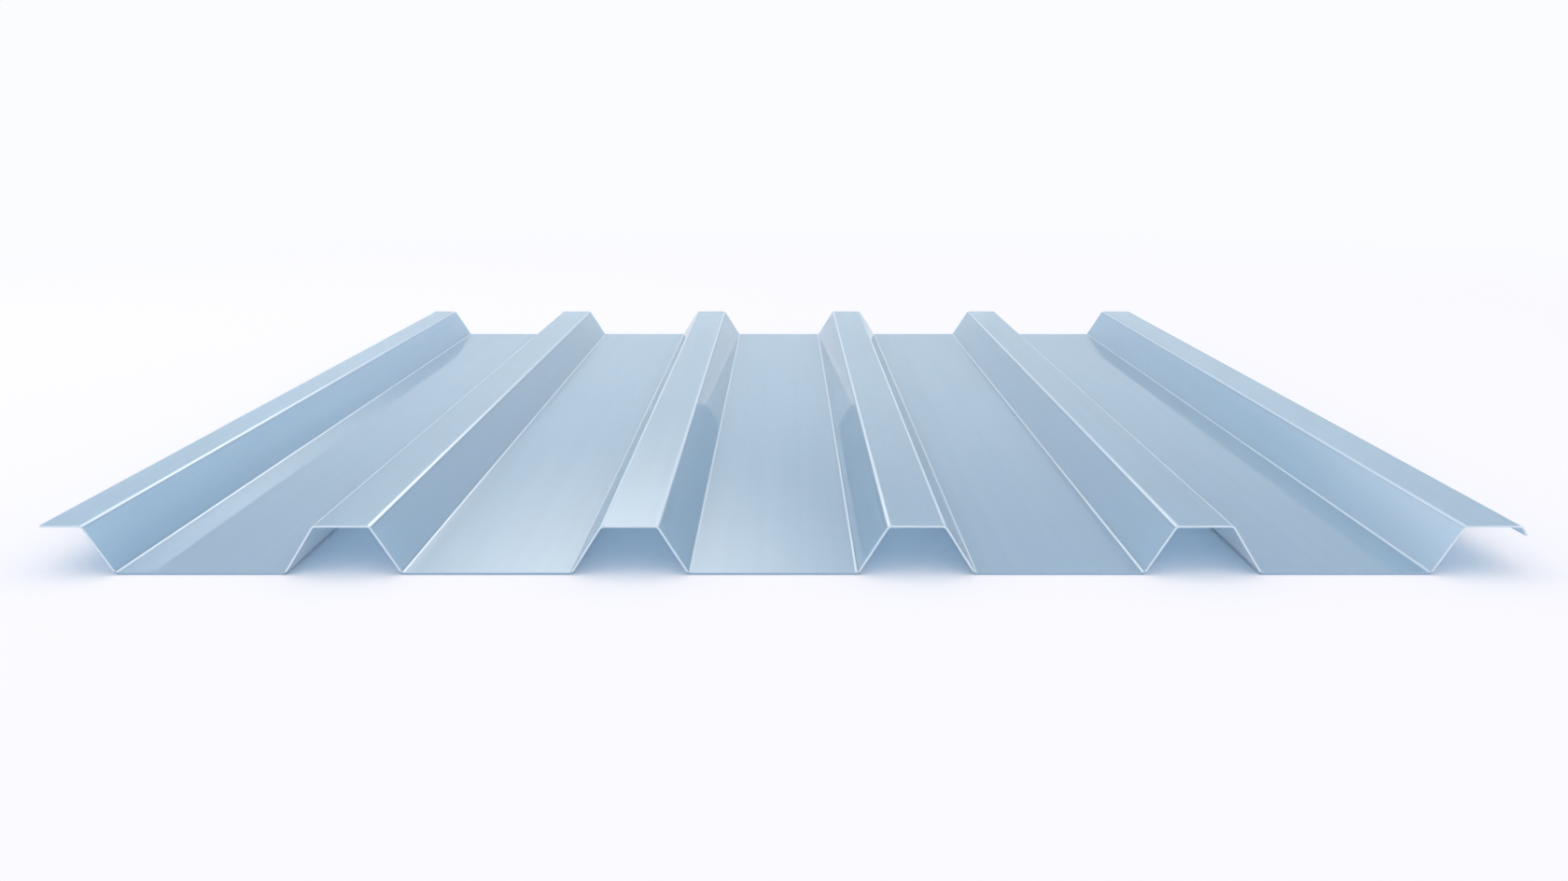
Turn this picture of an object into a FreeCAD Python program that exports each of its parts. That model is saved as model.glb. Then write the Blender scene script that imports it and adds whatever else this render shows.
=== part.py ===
import FreeCAD, Part
import math
import os

# Trapezoidal ("box profile") roofing sheet in translucent PVC, millimetres, +Z up.
# It is one piece: a flat web of even thickness formed into wide pans and narrow crowns
# that run the whole length along Y. The section lies in the XZ plane.
# The origin is under the middle of the sheet, on the plane that the pans rest on.

# Driving dimensions. Widths and runs are measured between the corners of the mid-line,
# which are the points where its straight stretches would meet if the bends were sharp.
length = 1275.0         # along the ribs
pitch = 207.0           # from one crown to the next
pan_count = 5           # pans between the two edge crowns
depth = 35.0            # from a pan's face up to the same face of a crown
thickness = 1.5         # of the PVC, the same everywhere
crown_width = 40.8      # across the top of a rib
web_run = 22.0          # how far a sloping web goes sideways
bend_radius = 3.0       # inside every bend
flange_width = 30.0     # left edge: flat part crown that laps over the next sheet
lip_length = 8.0        # right edge: short lip that turns down along the slope of a web

# Worked out from them.
half = thickness / 2
pan_height = half
crown_height = half + depth
web_slope = math.atan2(depth, web_run)
mid_radius = bend_radius + half
left_edge = crown_width / 2 - flange_width
lip_corner = pan_count * pitch + crown_width / 2
lip_end = lip_corner + lip_length * math.cos(web_slope)
right_edge = lip_end + half * math.sin(web_slope)
middle = (left_edge + right_edge) / 2


def point(x, z):
    """A point of the section at the sheet's front end, x measured from the first crown's middle."""
    return FreeCAD.Vector(x - middle, -length / 2, z)


def upward(direction):
    """The direction square to a stretch of the mid-line, on its upper side."""
    return FreeCAD.Vector(-direction.z, 0, direction.x)


def mid_line():
    """Corners of the mid-line from the flange at the left edge to the lip at the right edge."""
    corners = [point(left_edge, crown_height), point(crown_width / 2, crown_height)]
    for pan in range(pan_count):
        left_crown = pan * pitch + crown_width / 2
        right_crown = (pan + 1) * pitch - crown_width / 2
        corners.append(point(left_crown + web_run, pan_height))
        corners.append(point(right_crown - web_run, pan_height))
        corners.append(point(right_crown, crown_height))
        corners.append(point(right_crown + crown_width, crown_height))
    lip_drop = lip_length * math.sin(web_slope)
    corners.append(point(lip_end, crown_height - lip_drop))
    return corners


def bend(before, corner, after, offset):
    """Start, middle and end of the bend at a corner, on the face that is offset above the mid-line."""
    way_in = (corner - before).normalize()
    way_out = (after - corner).normalize()
    side = math.copysign(1, way_in.x * way_out.z - way_in.z * way_out.x)
    tangent = mid_radius * math.tan(way_in.getAngle(way_out) / 2)
    centre = corner - way_in * tangent + upward(way_in) * side * mid_radius
    reach = side * (mid_radius - side * offset)
    ways = (way_in, (way_in + way_out).normalize(), way_out)
    return [centre - upward(way) * reach for way in ways]


def face_line(corners, offset):
    """Edges of one face of the sheet: straight stretches joined by tangent arcs."""
    first_way = (corners[1] - corners[0]).normalize()
    last_way = (corners[-1] - corners[-2]).normalize()
    at = corners[0] + upward(first_way) * offset
    edges = []
    for before, corner, after in zip(corners, corners[1:], corners[2:]):
        start, top, end = bend(before, corner, after, offset)
        edges.append(Part.LineSegment(at, start).toShape())
        edges.append(Part.Arc(start, top, end).toShape())
        at = end
    edges.append(Part.LineSegment(at, corners[-1] + upward(last_way) * offset).toShape())
    return edges


def section():
    """The sheet's section as one closed face."""
    corners = mid_line()
    upper = face_line(corners, half)
    lower = face_line(corners, -half)
    right_cut = Part.LineSegment(upper[-1].lastVertex().Point, lower[-1].lastVertex().Point)
    left_cut = Part.LineSegment(lower[0].firstVertex().Point, upper[0].firstVertex().Point)
    outline = upper + [right_cut.toShape()] + lower[::-1] + [left_cut.toShape()]
    return Part.Face(Part.Wire(outline))


def sheet():
    """The whole sheet: its section carried along the length."""
    return section().extrude(FreeCAD.Vector(0, length, 0))


os.makedirs("parts", exist_ok=True)
sheet().exportStep("parts/sheet.step")
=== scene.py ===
"""Looks of a translucent PVC roofing sheet: the formed sheet, its finish, and a plain studio around it."""

import math

import bpy
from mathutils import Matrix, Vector


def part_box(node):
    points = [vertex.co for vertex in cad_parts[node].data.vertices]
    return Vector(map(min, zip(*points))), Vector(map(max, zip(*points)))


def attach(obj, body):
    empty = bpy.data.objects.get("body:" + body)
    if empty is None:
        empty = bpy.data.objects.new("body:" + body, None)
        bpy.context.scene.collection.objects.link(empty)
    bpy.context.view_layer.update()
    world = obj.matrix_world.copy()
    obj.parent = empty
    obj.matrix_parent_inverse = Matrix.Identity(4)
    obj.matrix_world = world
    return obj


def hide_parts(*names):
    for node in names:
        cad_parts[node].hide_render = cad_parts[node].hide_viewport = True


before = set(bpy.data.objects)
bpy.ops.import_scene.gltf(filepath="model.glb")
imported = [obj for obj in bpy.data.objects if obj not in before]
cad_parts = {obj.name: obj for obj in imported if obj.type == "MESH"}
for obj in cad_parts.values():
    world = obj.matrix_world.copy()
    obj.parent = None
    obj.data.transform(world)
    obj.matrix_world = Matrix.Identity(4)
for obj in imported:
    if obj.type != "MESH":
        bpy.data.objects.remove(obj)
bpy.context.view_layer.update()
LOW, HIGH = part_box("sheet")

bl_info = {
    "name": "Translucent PVC Roofing Sheet",
    "version": (1, 0, 0),
    "blender": (4, 5, 0),
    "location": "3D View > Sidebar > Roofing Sheet",
    "description": "Makes a trapezoidal roofing sheet in translucent PVC and a plain studio for it",
    "category": "Add Mesh",
}

MM = 0.001
THICKNESS = 1.5 * MM
MATH = "ShaderNodeMath"


def linear(hex_colour):
    """An sRGB hex colour as the linear RGBA that shaders take."""
    channels = [int(hex_colour[i:i + 2], 16) / 255 for i in (1, 3, 5)]
    return [c / 12.92 if c <= 0.04045 else ((c + 0.055) / 1.055) ** 2.4 for c in channels] + [1.0]


def colour_property(name, description, hex_colour):
    """A colour that a user can pick, with an sRGB hex default."""
    return bpy.props.FloatVectorProperty(
        name=name, description=description, subtype="COLOR", size=4, min=0.0, max=1.0,
        default=linear(hex_colour))


def length_property(name, description, metres):
    """A size that a user can set, kept in metres and shown in the scene's unit."""
    return bpy.props.FloatProperty(
        name=name, description=description, unit="LENGTH", min=0.0, precision=5, default=metres)


class SheetSettings(bpy.types.PropertyGroup):
    """Sizes of the sheet's section, measured between the corners of its mid-line, and its length."""

    thickness: length_property("Thickness", "Thickness of the PVC", THICKNESS)
    length: length_property("Length", "Length along the ribs", HIGH.y - LOW.y)
    depth: length_property(
        "Depth", "From a pan's face to the same face of a crown", HIGH.z - LOW.z - THICKNESS)
    pitch: length_property("Pitch", "From one crown to the next", 207 * MM)
    crown_width: length_property("Crown width", "Across the flat top of a rib", 40.8 * MM)
    web_run: length_property("Web run", "How far a sloping web goes sideways", 22 * MM)
    bend_radius: length_property("Bend radius", "Inside radius of every bend", 3 * MM)
    flange_width: length_property("Flange width", "Part crown at the left that laps the next sheet", 30 * MM)
    lip_length: length_property(
        "Lip length", "Lip at the right, turned down along the slope of a web", 8 * MM)
    edge_break: length_property("Edge break", "How much the saw and a scraper round the cut edges", 0.2 * MM)
    pan_count: bpy.props.IntProperty(
        name="Pans", description="Flat pans between the edge ribs", min=1, default=5)
    bend_steps: bpy.props.IntProperty(
        name="Bend steps", description="Flat steps that draw each bend", min=2, default=10)


class FinishSettings(bpy.types.PropertyGroup):
    """Colours of the PVC, with painted highlights and painted shade at the bends and cut ends."""

    body: colour_property("Body", "Light that comes back out of the tinted PVC", "#C4E1F4")
    streak: colour_property("Streak", "Body colour where the tint runs denser along the sheet", "#B8D8ED")
    # painted highlight along the bends, paler in place of a glint of light
    bend: colour_property("Bend", "Paler body colour where forming clouds a bend", "#DFF0FF")
    # painted shade line where a bend meets a web
    painted_bend_shade: colour_property("Bend edge", "Denser body colour where a bend meets a web", "#9DB9D2")
    # frosted, and painted paler as a glow of light led out at the cut ends
    sawn: colour_property("Sawn edge", "Frosted PVC at the cut ends", "#E6F2FD")
    # painted shade on the cut ends near the floor
    sawn_painted_shade: colour_property(
        "Sawn edge, low", "Frosted PVC near the floor, which takes its light", "#A6C0D9")


class StudioSettings(bpy.types.PropertyGroup):
    """The pale floor, the backdrop, the lights and the camera."""

    floor: colour_property("Floor", "Matt floor", "#F9F8FD")
    backdrop: colour_property("Backdrop", "Seamless background, as the camera sees it", "#FBFCFE")
    horizon: colour_property(
        "Horizon", "Foot of the backdrop, as seen in the gloss and through the PVC", "#E3EBF3")
    room: colour_property("Room", "Walls and ceiling that light the object", "#FCFDFF")
    walls: bpy.props.FloatProperty(
        name="Walls", description="Strength of the light from low in the room", min=0.0, default=0.49)
    mirrored_walls: bpy.props.FloatProperty(
        name="Mirrored walls", description="Brightness of the room that the gloss mirrors", min=0.0,
        default=0.6)
    ceiling: bpy.props.FloatProperty(
        name="Ceiling", description="Strength of the light from overhead", min=0.0, default=1.28)
    key_power: bpy.props.FloatProperty(
        name="Key light", description="Power of the large soft light above", unit="POWER", min=0.0,
        default=18.0)
    panel_power: bpy.props.FloatProperty(
        name="Back panel", description="Power of the bright panel behind the sheet", unit="POWER", min=0.0,
        default=18.5)
    camera_height: length_property("Camera height", "Height of the lens above the floor", 0.3192)
    camera_distance: length_property("Camera distance", "From the lens to the sheet's near end", 1.059)
    camera_pitch: bpy.props.FloatProperty(
        name="Camera pitch", description="How far the camera looks down", subtype="ANGLE", default=0.205)
    lens: bpy.props.FloatProperty(
        name="Lens", description="Focal length in millimetres", min=1.0, default=35.0)


def add_node(tree, kind, inputs=None, **settings):
    """Add a node, set its properties, and set its inputs, linking those given as sockets."""
    made = tree.nodes.new(kind)
    for name, value in settings.items():
        setattr(made, name, value)
    for key, value in (inputs or {}).items():
        if isinstance(value, bpy.types.NodeSocket):
            tree.links.new(value, made.inputs[key])
        else:
            made.inputs[key].default_value = value
    return made


# The sheet's shape ---------------------------------------------------------------------------

PITCH_CORNERS = 4                   # corners of the mid-line in one pitch
OUTER_CORNERS = 3                   # one more to the left of the pans, and two to the right
MERGE_DISTANCE = 0.01 * MM
CUT_FACING = 0.5                    # a face turned further along the length than this was sawn
SHARP_EDGE = math.radians(60)       # sharper edges than this are broken
BREAK_STEPS = 2                     # flat steps that round a broken edge
FLAT_FACE_WEIGHT = 100              # lets the large faces alone set the shading normals

SHEET_INPUTS = [
    ("Pan count", "NodeSocketInt", "pan_count"),
    ("Bend steps", "NodeSocketInt", "bend_steps"),
    ("Pitch", "NodeSocketFloat", "pitch"),
    ("Crown width", "NodeSocketFloat", "crown_width"),
    ("Web run", "NodeSocketFloat", "web_run"),
    ("Depth", "NodeSocketFloat", "depth"),
    ("Thickness", "NodeSocketFloat", "thickness"),
    ("Bend radius", "NodeSocketFloat", "bend_radius"),
    ("Flange width", "NodeSocketFloat", "flange_width"),
    ("Lip length", "NodeSocketFloat", "lip_length"),
    ("Length", "NodeSocketFloat", "length"),
]


def corner_positions(tree, size):
    """Where the corner with each index lies, from a crown down to its pan and up to the next crown."""
    half_crown = add_node(tree, MATH, {0: size["Crown width"], 1: 0.5}, operation="MULTIPLY").outputs[0]
    pan_start = add_node(tree, MATH, {0: half_crown, 1: size["Web run"]}, operation="ADD").outputs[0]
    pan_end = add_node(tree, MATH, {0: size["Pitch"], 1: pan_start}, operation="SUBTRACT").outputs[0]
    next_crown = add_node(tree, MATH, {0: size["Pitch"], 1: half_crown}, operation="SUBTRACT").outputs[0]
    index = add_node(tree, "GeometryNodeInputIndex").outputs[0]
    from_crown = add_node(tree, MATH, {0: index, 1: 1.0}, operation="SUBTRACT").outputs[0]
    turn = add_node(tree, MATH, {0: from_crown, 1: PITCH_CORNERS}, operation="FLOORED_MODULO").outputs[0]
    pitches = add_node(tree, MATH, {0: from_crown, 1: PITCH_CORNERS}, operation="DIVIDE").outputs[0]
    rib = add_node(tree, MATH, {0: pitches}, operation="FLOOR").outputs[0]
    rib_place = add_node(tree, MATH, {0: rib, 1: size["Pitch"]}, operation="MULTIPLY").outputs[0]
    within = add_node(tree, "GeometryNodeIndexSwitch", data_type="FLOAT")
    height = add_node(tree, "GeometryNodeIndexSwitch", data_type="FLOAT")
    for switch, choices in (
        (within, (half_crown, pan_start, pan_end, next_crown)),
        (height, (size["Depth"], 0.0, 0.0, size["Depth"])),
    ):
        while len(switch.index_switch_items) < len(choices):
            switch.index_switch_items.new()
        tree.links.new(turn, switch.inputs[0])
        for slot, choice in enumerate(choices, start=1):
            if isinstance(choice, bpy.types.NodeSocket):
                tree.links.new(choice, switch.inputs[slot])
            else:
                switch.inputs[slot].default_value = choice
    across = add_node(tree, MATH, {0: rib_place, 1: within.outputs[0]}, operation="ADD").outputs[0]
    return add_node(tree, "ShaderNodeCombineXYZ", {"X": across, "Z": height.outputs[0]}).outputs[0]


def mid_line(tree, size):
    """The bent mid-line of the section, cut off after the flange at the left and the lip at the right."""
    count = add_node(
        tree, MATH, {0: size["Pan count"], 1: PITCH_CORNERS, 2: OUTER_CORNERS},
        operation="MULTIPLY_ADD").outputs[0]
    corners = add_node(tree, "GeometryNodeMeshLine", {"Count": count})
    placed = add_node(
        tree, "GeometryNodeSetPosition",
        {"Geometry": corners.outputs[0], "Position": corner_positions(tree, size)})
    line = add_node(tree, "GeometryNodeMeshToCurve", {"Mesh": placed.outputs[0]}).outputs[0]
    whole = add_node(tree, "GeometryNodeCurveLength", {"Curve": line}).outputs[0]
    run_squared = add_node(tree, MATH, {0: size["Web run"], 1: 2.0}, operation="POWER").outputs[0]
    depth_squared = add_node(tree, MATH, {0: size["Depth"], 1: 2.0}, operation="POWER").outputs[0]
    web_squared = add_node(tree, MATH, {0: run_squared, 1: depth_squared}, operation="ADD").outputs[0]
    web = add_node(tree, MATH, {0: web_squared, 1: 0.5}, operation="POWER").outputs[0]
    past_lip = add_node(tree, MATH, {0: web, 1: size["Lip length"]}, operation="SUBTRACT").outputs[0]
    end = add_node(tree, MATH, {0: whole, 1: past_lip}, operation="SUBTRACT").outputs[0]
    start = add_node(
        tree, MATH, {0: size["Crown width"], 1: size["Flange width"]}, operation="SUBTRACT").outputs[0]
    cut = add_node(
        tree, "GeometryNodeTrimCurve", {"Curve": line, "Start": start, "End": end}, mode="LENGTH")
    half = add_node(tree, MATH, {0: size["Thickness"], 1: 0.5}, operation="MULTIPLY").outputs[0]
    radius = add_node(tree, MATH, {0: size["Bend radius"], 1: half}, operation="ADD").outputs[0]
    return add_node(
        tree, "GeometryNodeFilletCurve",
        {"Curve": cut.outputs[0], "Count": size["Bend steps"], "Radius": radius}, mode="POLY").outputs[0]


def sheet_tree():
    """Geometry nodes that bend a mid-line, give it thickness and carry the section along the length."""
    tree = bpy.data.node_groups.new("Roofing sheet", "GeometryNodeTree")
    for name, kind, _ in SHEET_INPUTS:
        tree.interface.new_socket(name, in_out="INPUT", socket_type=kind)
    for name in ("PVC", "Sawn PVC"):
        tree.interface.new_socket(name, in_out="INPUT", socket_type="NodeSocketMaterial")
    tree.interface.new_socket("Sheet", in_out="OUTPUT", socket_type="NodeSocketGeometry")
    size = add_node(tree, "NodeGroupInput").outputs

    half = add_node(tree, MATH, {0: size["Thickness"], 1: 0.5}, operation="MULTIPLY").outputs[0]
    below = add_node(tree, MATH, {0: half, 1: -1.0}, operation="MULTIPLY").outputs[0]
    across = add_node(tree, "GeometryNodeCurvePrimitiveLine", {
        "Start": add_node(tree, "ShaderNodeCombineXYZ", {"Y": below}).outputs[0],
        "End": add_node(tree, "ShaderNodeCombineXYZ", {"Y": half}).outputs[0]})
    section = add_node(
        tree, "GeometryNodeCurveToMesh",
        {"Curve": mid_line(tree, size), "Profile Curve": across.outputs[0]}).outputs[0]
    along = add_node(tree, "ShaderNodeCombineXYZ", {"Y": size["Length"]}).outputs[0]
    carried = add_node(
        tree, "GeometryNodeExtrudeMesh",
        {"Mesh": section, "Offset": along, "Offset Scale": 1.0, "Individual": False}, mode="FACES")
    outwards = add_node(tree, "GeometryNodeFlipFaces", {"Mesh": carried.outputs[0]}).outputs[0]
    joined = add_node(tree, "GeometryNodeJoinGeometry")
    tree.links.new(section, joined.inputs[0])
    tree.links.new(outwards, joined.inputs[0])
    solid = add_node(
        tree, "GeometryNodeMergeByDistance",
        {"Geometry": joined.outputs[0], "Distance": MERGE_DISTANCE}).outputs[0]
    box = add_node(tree, "GeometryNodeBoundBox", {"Geometry": solid})
    low = add_node(tree, "ShaderNodeSeparateXYZ", {0: box.outputs["Min"]})
    total = add_node(
        tree, "ShaderNodeVectorMath", {0: box.outputs["Min"], 1: box.outputs["Max"]},
        operation="ADD").outputs[0]
    centre = add_node(tree, "ShaderNodeVectorMath", {0: total, "Scale": -0.5}, operation="SCALE").outputs[0]
    flat = add_node(tree, "ShaderNodeSeparateXYZ", {0: centre})
    raised = add_node(tree, MATH, {0: low.outputs["Z"], 1: -1.0}, operation="MULTIPLY").outputs[0]
    shift = add_node(
        tree, "ShaderNodeCombineXYZ",
        {"X": flat.outputs["X"], "Y": flat.outputs["Y"], "Z": raised}).outputs[0]
    centred = add_node(tree, "GeometryNodeSetPosition", {"Geometry": solid, "Offset": shift}).outputs[0]

    real = add_node(tree, "GeometryNodeRealizeInstances", {"Geometry": centred}).outputs[0]
    body = add_node(tree, "GeometryNodeSetMaterial", {"Geometry": real, "Material": size["PVC"]}).outputs[0]
    normal = add_node(tree, "GeometryNodeInputNormal").outputs[0]
    facing = add_node(tree, "ShaderNodeSeparateXYZ", {0: normal}).outputs["Y"]
    lengthwise = add_node(tree, MATH, {0: facing}, operation="ABSOLUTE").outputs[0]
    is_cut = add_node(
        tree, "FunctionNodeCompare", {"A": lengthwise, "B": CUT_FACING}, data_type="FLOAT",
        operation="GREATER_THAN").outputs[0]
    sawn = add_node(
        tree, "GeometryNodeSetMaterial",
        {"Geometry": body, "Selection": is_cut, "Material": size["Sawn PVC"]}).outputs[0]
    add_node(tree, "NodeGroupOutput", {"Sheet": sawn})
    return tree


def made_sheet(settings, pvc, sawn_pvc):
    """The sheet as a plain mesh object at the origin, shaped by the geometry nodes."""
    tree = sheet_tree()
    piece = bpy.data.objects.new("roofing_sheet", bpy.data.meshes.new("roofing_sheet"))
    bpy.context.scene.collection.objects.link(piece)
    shaper = piece.modifiers.new("Shape", "NODES")
    shaper.node_group = tree
    values = {name: getattr(settings, attribute) for name, _, attribute in SHEET_INPUTS}
    values["PVC"] = pvc
    values["Sawn PVC"] = sawn_pvc
    for item in tree.interface.items_tree:
        if item.in_out == "INPUT":
            shaper[item.identifier] = values[item.name]
    edges = piece.modifiers.new("Edge break", "BEVEL")
    edges.width = settings.edge_break
    edges.segments = BREAK_STEPS
    edges.limit_method = "ANGLE"
    edges.angle_limit = SHARP_EDGE
    shading = piece.modifiers.new("Flat faces stay flat", "WEIGHTED_NORMAL")
    shading.weight = FLAT_FACE_WEIGHT
    depsgraph = bpy.context.evaluated_depsgraph_get()
    mesh = bpy.data.meshes.new_from_object(
        piece.evaluated_get(depsgraph), preserve_all_data_layers=True, depsgraph=depsgraph)
    if mesh.materials[0] is None:       # an empty slot that the nodes leave before the two finishes
        mesh.materials.pop(index=0)
    piece.modifiers.clear()
    piece.data = mesh
    return piece


# The finish ----------------------------------------------------------------------------------

STREAK_SIZE = (9 * MM, 900 * MM)    # how wide and how long the features of each pattern are
HAZE_SIZE = (30 * MM, 400 * MM)
WAVE_SIZE = (60 * MM, 500 * MM)
DIE_LINE_SIZE = (2.5 * MM, 1500 * MM)   # real die lines are too fine to show, so these are coarser
WAVE_HEIGHT = 0.12 * MM
DIE_LINE_HEIGHT = 0.009 * MM
HAZE = (0.5, 0.62)                  # least and most roughness under the clear skin
PAINTED_SHADE_SPAN = (0.6, 0.85)              # shares of a bend's turn over which the painted shade line beside a web grows
PAINTED_HIGHLIGHT_SHARE = 0.8                      # share of the painted highlight colour in the middle of a bend
PAINTED_SHADE_STRENGTH = 1.8             # brings the middle of that painted shade line to nearly its full tint
CLEAR = 0.64                        # share of light let through by the flats and webs
CLEAR_UNDER_PAINTED_HIGHLIGHT = 0.05                      # and by the middle of a bend, kept low so that the painted highlight there shows bright

SAW_MARK_WIDTH = 0.5 * MM
SAW_MARK_HEIGHT = 6 * MM
SAW_MARK_LEAN = math.radians(12)
SAW_MARK_DEPTH = 0.03 * MM
SAWN_ROUGHNESS = (0.45, 0.7)
PAINTED_SHADE_HEIGHTS = (1.3 * MM, 3 * MM)    # heights over which the painted shade at the foot of a cut end fades out


def new_material(name):
    """A material with only an output node, and its tree."""
    material = bpy.data.materials.new(name)
    material.use_nodes = True
    material.node_tree.nodes.clear()
    return material, material.node_tree


def stretched_noise(tree, where, feature_size, detail=2.0):
    """Noise drawn out along the sheet, with features so wide across the sheet and so long along it."""
    across, along = feature_size
    scale = (1 / across, 1 / along, 1 / across)
    stretched = add_node(tree, "ShaderNodeMapping", {"Vector": where, "Scale": scale}).outputs[0]
    return add_node(
        tree, "ShaderNodeTexNoise", {"Vector": stretched, "Scale": 1.0, "Detail": detail}).outputs[0]


def pvc_material(finish, web_slope):
    """PVC-U, extruded and formed: a clear glossy skin over a hazy tinted body that lets light through.

    The die leaves faint lines and streaks of denser tint along the sheet. The bends, and the broken edges,
    get a painted highlight that lets less light through, and a painted shade line where each bend meets its
    web. A face's slope tells how far round a bend it lies.
    """
    material, tree = new_material("Translucent PVC-U, extruded")
    place = add_node(tree, "ShaderNodeTexCoord").outputs
    streaks = stretched_noise(tree, place["Object"], STREAK_SIZE, detail=3.0)
    body = add_node(
        tree, "ShaderNodeMix", {"Factor": streaks, "A": finish.body, "B": finish.streak}, data_type="RGBA")

    level = add_node(tree, "ShaderNodeSeparateXYZ", {0: place["Normal"]}).outputs["Z"]
    upright = add_node(tree, MATH, {0: level}, operation="ABSOLUTE").outputs[0]
    slope = add_node(tree, MATH, {0: upright}, operation="ARCCOSINE").outputs[0]
    half_turn = add_node(tree, MATH, {0: slope, 1: math.pi / web_slope}, operation="MULTIPLY").outputs[0]
    on_bend = add_node(tree, MATH, {0: half_turn}, operation="SINE").outputs[0]
    line_start, line_full = (share * math.pi for share in PAINTED_SHADE_SPAN)
    near_web = add_node(
        tree, "ShaderNodeMapRange", {"Value": half_turn, "From Min": line_start, "From Max": line_full},
        interpolation_type="SMOOTHSTEP").outputs[0]
    near_flat = add_node(tree, MATH, {0: 1.0, 1: near_web}, operation="SUBTRACT").outputs[0]
    # painted highlight along each bend, fading out where the bend meets its web
    painted_highlight_mask = add_node(tree, MATH, {0: on_bend, 1: near_flat}, operation="MULTIPLY").outputs[0]
    painted_highlight = add_node(tree, MATH, {0: painted_highlight_mask, 1: PAINTED_HIGHLIGHT_SHARE}, operation="MULTIPLY").outputs[0]
    with_painted_highlight = add_node(
        tree, "ShaderNodeMix", {"Factor": painted_highlight, "A": body.outputs["Result"], "B": finish.bend},
        data_type="RGBA")
    # painted shade line where a bend meets its web, darker than the body
    painted_shade_mask = add_node(tree, MATH, {0: on_bend, 1: near_web}, operation="MULTIPLY").outputs[0]
    denser = add_node(tree, MATH, {0: painted_shade_mask, 1: PAINTED_SHADE_STRENGTH}, operation="MULTIPLY").outputs[0]
    tint = add_node(
        tree, "ShaderNodeMix", {"Factor": denser, "A": with_painted_highlight.outputs["Result"], "B": finish.painted_bend_shade},
        data_type="RGBA", clamp_factor=True)
    # bends let less light through, so that the painted highlight shows brighter
    clear = add_node(
        tree, "ShaderNodeMapRange", {"Value": painted_highlight_mask, "To Min": CLEAR, "To Max": CLEAR_UNDER_PAINTED_HIGHLIGHT}).outputs[0]

    cloudiness = stretched_noise(tree, place["Object"], HAZE_SIZE)
    haze = add_node(
        tree, "ShaderNodeMapRange", {"Value": cloudiness, "To Min": HAZE[0], "To Max": HAZE[1]})
    die_lines = stretched_noise(tree, place["Object"], DIE_LINE_SIZE)
    lined = add_node(
        tree, "ShaderNodeBump", {"Strength": 1.0, "Distance": DIE_LINE_HEIGHT, "Height": die_lines})
    waviness = stretched_noise(tree, place["Object"], WAVE_SIZE, detail=0.0)
    wavy = add_node(
        tree, "ShaderNodeBump",
        {"Strength": 1.0, "Distance": WAVE_HEIGHT, "Height": waviness, "Normal": lined.outputs[0]})
    shader = add_node(tree, "ShaderNodeBsdfPrincipled", {
        "Base Color": tint.outputs["Result"],
        "Roughness": haze.outputs[0],
        "IOR": 1.2,     # under the 1.53 of PVC, because the coat already gives the gloss
        "Specular IOR Level": 0.2,
        "Transmission Weight": clear,
        "Coat Weight": 0.8,
        "Coat Roughness": 0.01,
        "Coat IOR": 1.5,
        "Normal": wavy.outputs[0],
        "Coat Normal": wavy.outputs[0]})
    add_node(tree, "ShaderNodeOutputMaterial", {"Surface": shader.outputs[0]})
    return material


def sawn_material(finish):
    """PVC-U cut by the saw: frosted by the teeth, painted pale for light from the faces, with painted shade
    low down.
    """
    material, tree = new_material("Translucent PVC-U, sawn")
    where = add_node(tree, "ShaderNodeTexCoord").outputs["Object"]
    across = add_node(tree, "ShaderNodeMapping", {
        "Vector": where,
        "Rotation": (0.0, SAW_MARK_LEAN, 0.0),
        "Scale": (1 / SAW_MARK_WIDTH, 1.0, 1 / SAW_MARK_HEIGHT)})
    teeth = add_node(
        tree, "ShaderNodeTexNoise", {"Vector": across.outputs[0], "Scale": 1.0, "Detail": 2.0}).outputs[0]
    frost = add_node(
        tree, "ShaderNodeMapRange",
        {"Value": teeth, "To Min": SAWN_ROUGHNESS[0], "To Max": SAWN_ROUGHNESS[1]})
    height = add_node(tree, "ShaderNodeSeparateXYZ", {0: where}).outputs["Z"]
    # painted shade on the cut ends close to the floor, fading out upwards
    above_painted_shade = add_node(
        tree, "ShaderNodeMapRange",
        {"Value": height, "From Min": PAINTED_SHADE_HEIGHTS[0], "From Max": PAINTED_SHADE_HEIGHTS[1]},
        interpolation_type="SMOOTHSTEP")
    tint = add_node(
        tree, "ShaderNodeMix", {"Factor": above_painted_shade.outputs[0], "A": finish.sawn_painted_shade, "B": finish.sawn},
        data_type="RGBA")
    scored = add_node(tree, "ShaderNodeBump", {"Strength": 1.0, "Distance": SAW_MARK_DEPTH, "Height": teeth})
    shader = add_node(tree, "ShaderNodeBsdfPrincipled", {
        "Base Color": tint.outputs["Result"],
        "Roughness": frost.outputs[0],
        "IOR": 1.53,
        "Transmission Weight": 0.1,
        "Normal": scored.outputs[0]})
    add_node(tree, "ShaderNodeOutputMaterial", {"Surface": shader.outputs[0]})
    return material


# The studio ----------------------------------------------------------------------------------

FLOOR_REACH = 15.0      # metres from the middle to each side of the floor
FLOOR_GAP = 0.3 * MM    # between the floor and the pans, so that the two faces stay apart
FADE_START = 1.3        # metres from the middle where the painted floor starts to run into the backdrop
FADE_END = 3.5
MIRRORED_FADE = 3.2     # how many times nearer the gloss sees it run into the backdrop's foot
BACKDROP_TOP = 0.15     # sine of the angle above the horizon up to which only the backdrop's foot is seen
WALLS_START = 0.27      # and of the angle where the room's walls start

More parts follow.
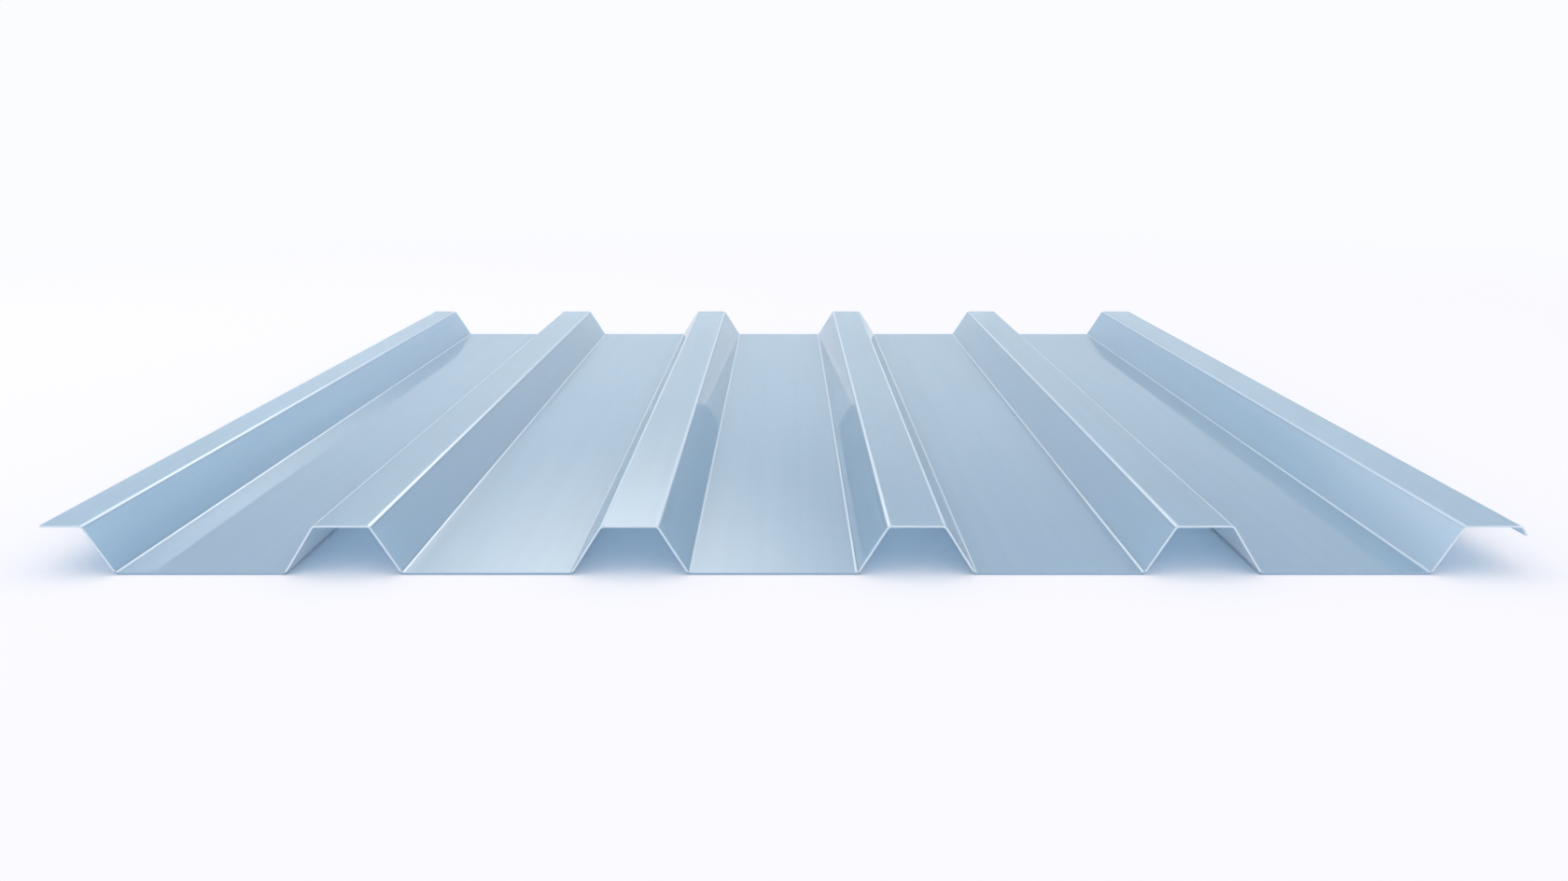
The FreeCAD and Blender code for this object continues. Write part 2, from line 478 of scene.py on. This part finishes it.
# Lamps, placed in metres: one high at the left, and one behind the sheet that lights no matt surface.
KEY_LIGHT = {
    "name": "key", "place": (-1.8, 0.6, 2.4), "target": (0.0, 0.0, 0.0), "size": (2.2, 1.6),
    "colour": (1.0, 0.99, 0.97)}
BACK_PANEL = {
    "name": "back_panel", "place": (-0.40, 1.52, 0.95), "target": (-0.15, -0.55, 0.0), "size": (1.7, 1.3),
    "colour": (1.0, 0.95, 0.87), "skip_matt": True}


def floor_material(studio):
    """Matt paint near the sheet, which takes its shadow, running out into the seamless backdrop."""
    material, tree = new_material("Floor, matt paint")
    where = add_node(tree, "ShaderNodeTexCoord").outputs["Object"]
    distance = add_node(tree, "ShaderNodeVectorMath", {0: where}, operation="LENGTH").outputs["Value"]
    nearer = add_node(
        tree, "ShaderNodeMapRange", {"Value": mirrored_rays(tree), "To Min": 1.0, "To Max": MIRRORED_FADE})
    reach = add_node(tree, MATH, {0: distance, 1: nearer.outputs[0]}, operation="MULTIPLY")
    far = add_node(
        tree, "ShaderNodeMapRange", {"Value": reach.outputs[0], "From Min": FADE_START, "From Max": FADE_END},
        interpolation_type="SMOOTHSTEP")
    share = add_node(
        tree, MATH, {0: far.outputs[0], 1: direct_rays(tree)}, operation="MULTIPLY")
    paint = add_node(tree, "ShaderNodeBsdfDiffuse", {"Color": studio.floor})
    backdrop = add_node(tree, "ShaderNodeEmission", {"Color": backdrop_colour(tree, studio), "Strength": 1.0})
    surface = add_node(
        tree, "ShaderNodeMixShader", {0: share.outputs[0], 1: paint.outputs[0], 2: backdrop.outputs[0]})
    add_node(tree, "ShaderNodeOutputMaterial", {"Surface": surface.outputs[0]})
    return material


def make_floor(studio):
    """A large floor just under the pans."""
    corners = [(-1, -1), (1, -1), (1, 1), (-1, 1)]
    mesh = bpy.data.meshes.new("floor")
    mesh.from_pydata(
        [(FLOOR_REACH * x, FLOOR_REACH * y, -FLOOR_GAP) for x, y in corners], [], [(0, 1, 2, 3)])
    floor = bpy.data.objects.new("floor", mesh)
    mesh.materials.append(floor_material(studio))
    bpy.context.scene.collection.objects.link(floor)
    return floor


def direct_rays(tree):
    """1 for rays from the camera, off the gloss or through the PVC, and 0 for rays that only gather light."""
    path = add_node(tree, "ShaderNodeLightPath").outputs
    sharp = add_node(
        tree, MATH, {0: path["Is Camera Ray"], 1: path["Is Glossy Ray"]}, operation="MAXIMUM")
    return add_node(
        tree, MATH, {0: sharp.outputs[0], 1: path["Is Transmission Ray"]},
        operation="MAXIMUM").outputs[0]


def mirrored_rays(tree):
    """1 for rays off the gloss. Rays that hazy PVC lets through count as glossy too, and are taken out."""
    path = add_node(tree, "ShaderNodeLightPath").outputs
    outside = add_node(
        tree, MATH, {0: 1.0, 1: path["Is Transmission Ray"]}, operation="SUBTRACT").outputs[0]
    return add_node(
        tree, MATH, {0: path["Is Glossy Ray"], 1: outside}, operation="MULTIPLY").outputs[0]


def backdrop_colour(tree, studio):
    """The backdrop's colour as the camera sees it, and the duller foot of it that every other ray meets."""
    seen = add_node(tree, "ShaderNodeLightPath").outputs["Is Camera Ray"]
    return add_node(
        tree, "ShaderNodeMix", {"Factor": seen, "A": studio.horizon, "B": studio.backdrop},
        data_type="RGBA").outputs["Result"]


def light_world(studio):
    """The camera sees a plain backdrop, and the gloss mirrors its foot with plain walls above.

    All other light comes from a room that brightens overhead.
    """
    world = bpy.data.worlds.new("Studio")
    bpy.context.scene.world = world
    world.use_nodes = True
    tree = world.node_tree
    tree.nodes.clear()
    path = add_node(tree, "ShaderNodeLightPath").outputs
    direction = add_node(tree, "ShaderNodeTexCoord").outputs["Generated"]
    height = add_node(tree, "ShaderNodeSeparateXYZ", {0: direction}).outputs["Z"]
    mirrored = mirrored_rays(tree)
    gathered = add_node(
        tree, "ShaderNodeMapRange", {"Value": height, "To Min": studio.walls, "To Max": studio.ceiling})
    level = add_node(
        tree, "ShaderNodeMapRange",
        {"Value": mirrored, "To Min": gathered.outputs[0], "To Max": studio.mirrored_walls}).outputs[0]
    room = add_node(tree, "ShaderNodeBackground", {"Color": studio.room, "Strength": level})
    backdrop = add_node(
        tree, "ShaderNodeBackground", {"Color": backdrop_colour(tree, studio), "Strength": 1.0})
    rise = add_node(
        tree, "ShaderNodeMapRange", {"Value": height, "From Min": BACKDROP_TOP, "From Max": WALLS_START},
        interpolation_type="SMOOTHSTEP")
    unmirrored = add_node(tree, MATH, {0: 1.0, 1: mirrored}, operation="SUBTRACT")
    above = add_node(
        tree, MATH, {0: rise.outputs[0], 1: unmirrored.outputs[0]}, operation="MAXIMUM")
    unseen = add_node(tree, MATH, {0: 1.0, 1: path["Is Camera Ray"]}, operation="SUBTRACT")
    share = add_node(
        tree, MATH, {0: above.outputs[0], 1: unseen.outputs[0]}, operation="MULTIPLY")
    chosen = add_node(
        tree, "ShaderNodeMixShader", {0: share.outputs[0], 1: backdrop.outputs[0], 2: room.outputs[0]})
    add_node(tree, "ShaderNodeOutputWorld", {"Surface": chosen.outputs[0]})


def add_soft_light(name, place, target, size, power, colour, skip_matt=False):
    """A rectangular soft box turned to a target, brightest at its middle and fading to its edges."""
    light = bpy.data.lights.new(name, "AREA")
    light.shape = "RECTANGLE"
    light.size, light.size_y = size
    light.energy = power
    light.color = colour
    light.use_nodes = True
    tree = light.node_tree
    tree.nodes.clear()
    across = add_node(tree, "ShaderNodeNewGeometry").outputs["Parametric"]
    middle = add_node(tree, "ShaderNodeVectorMath", {0: across, 1: (0.5, 0.5, 0.0)}, operation="SUBTRACT")
    flat = add_node(
        tree, "ShaderNodeVectorMath", {0: middle.outputs[0], 1: (1.0, 1.0, 0.0)}, operation="MULTIPLY")
    out = add_node(tree, "ShaderNodeVectorMath", {0: flat.outputs[0]}, operation="LENGTH").outputs["Value"]
    glow = add_node(
        tree, "ShaderNodeMapRange", {"Value": out, "From Max": 0.5, "To Min": 1.0, "To Max": 0.0},
        interpolation_type="SMOOTHSTEP")
    emission = add_node(tree, "ShaderNodeEmission", {"Strength": glow.outputs[0]})
    add_node(tree, "ShaderNodeOutputLight", {"Surface": emission.outputs[0]})
    lamp = bpy.data.objects.new(name, light)
    lamp.location = place
    lamp.rotation_euler = (Vector(target) - Vector(place)).to_track_quat("-Z", "Y").to_euler()
    lamp.visible_camera = False
    lamp.visible_diffuse = not skip_matt
    bpy.context.scene.collection.objects.link(lamp)
    return lamp


def add_camera(studio):
    """The camera, in front of the sheet's near end and looking down along the ribs."""
    camera = bpy.data.objects.new("camera", bpy.data.cameras.new("camera"))
    camera.data.lens = studio.lens
    camera.data.clip_start = 0.01
    camera.location = (0.0, LOW.y - studio.camera_distance, studio.camera_height)
    camera.rotation_euler = (math.pi / 2 - studio.camera_pitch, 0.0, 0.0)
    bpy.context.scene.collection.objects.link(camera)
    bpy.context.scene.camera = camera
    bpy.context.scene.view_settings.view_transform = "Standard"


class ROOFING_OT_sheet(bpy.types.Operator):
    """Make the translucent sheet"""

    bl_idname = "roofing.sheet"
    bl_label = "Make Roofing Sheet"

    def execute(self, context):
        sizes = context.scene.roofing_sheet
        finish = context.scene.roofing_finish
        web_slope = math.atan2(sizes.depth, sizes.web_run)
        piece = made_sheet(sizes, pvc_material(finish, web_slope), sawn_material(finish))
        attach(piece, "root")
        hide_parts("sheet")
        return {"FINISHED"}


class ROOFING_OT_studio(bpy.types.Operator):
    """Make the floor, the lights and the camera"""

    bl_idname = "roofing.studio"
    bl_label = "Make Studio"

    def execute(self, context):
        studio = context.scene.roofing_studio
        make_floor(studio)
        light_world(studio)
        add_soft_light(power=studio.key_power, **KEY_LIGHT)
        add_soft_light(power=studio.panel_power, **BACK_PANEL)
        add_camera(studio)
        return {"FINISHED"}


class ROOFING_PT_panel(bpy.types.Panel):
    """Sizes, colours and buttons for the sheet and its studio"""

    bl_label = "Roofing Sheet"
    bl_space_type = "VIEW_3D"
    bl_region_type = "UI"
    bl_category = "Roofing Sheet"

    def draw(self, context):
        for group, operator in (
            (context.scene.roofing_sheet, None),
            (context.scene.roofing_finish, ROOFING_OT_sheet.bl_idname),
            (context.scene.roofing_studio, ROOFING_OT_studio.bl_idname),
        ):
            column = self.layout.column()
            for name in group.__annotations__:
                column.prop(group, name)
            if operator:
                column.operator(operator)


CLASSES = (
    SheetSettings, FinishSettings, StudioSettings, ROOFING_OT_sheet, ROOFING_OT_studio, ROOFING_PT_panel)


def register():
    for cls in CLASSES:
        bpy.utils.register_class(cls)
    bpy.types.Scene.roofing_sheet = bpy.props.PointerProperty(type=SheetSettings)
    bpy.types.Scene.roofing_finish = bpy.props.PointerProperty(type=FinishSettings)
    bpy.types.Scene.roofing_studio = bpy.props.PointerProperty(type=StudioSettings)


def unregister():
    del bpy.types.Scene.roofing_studio
    del bpy.types.Scene.roofing_finish
    del bpy.types.Scene.roofing_sheet
    for cls in reversed(CLASSES):
        bpy.utils.unregister_class(cls)


def main():
    register()
    bpy.ops.roofing.sheet()
    bpy.ops.roofing.studio()


if __name__ == "__main__":
    main()
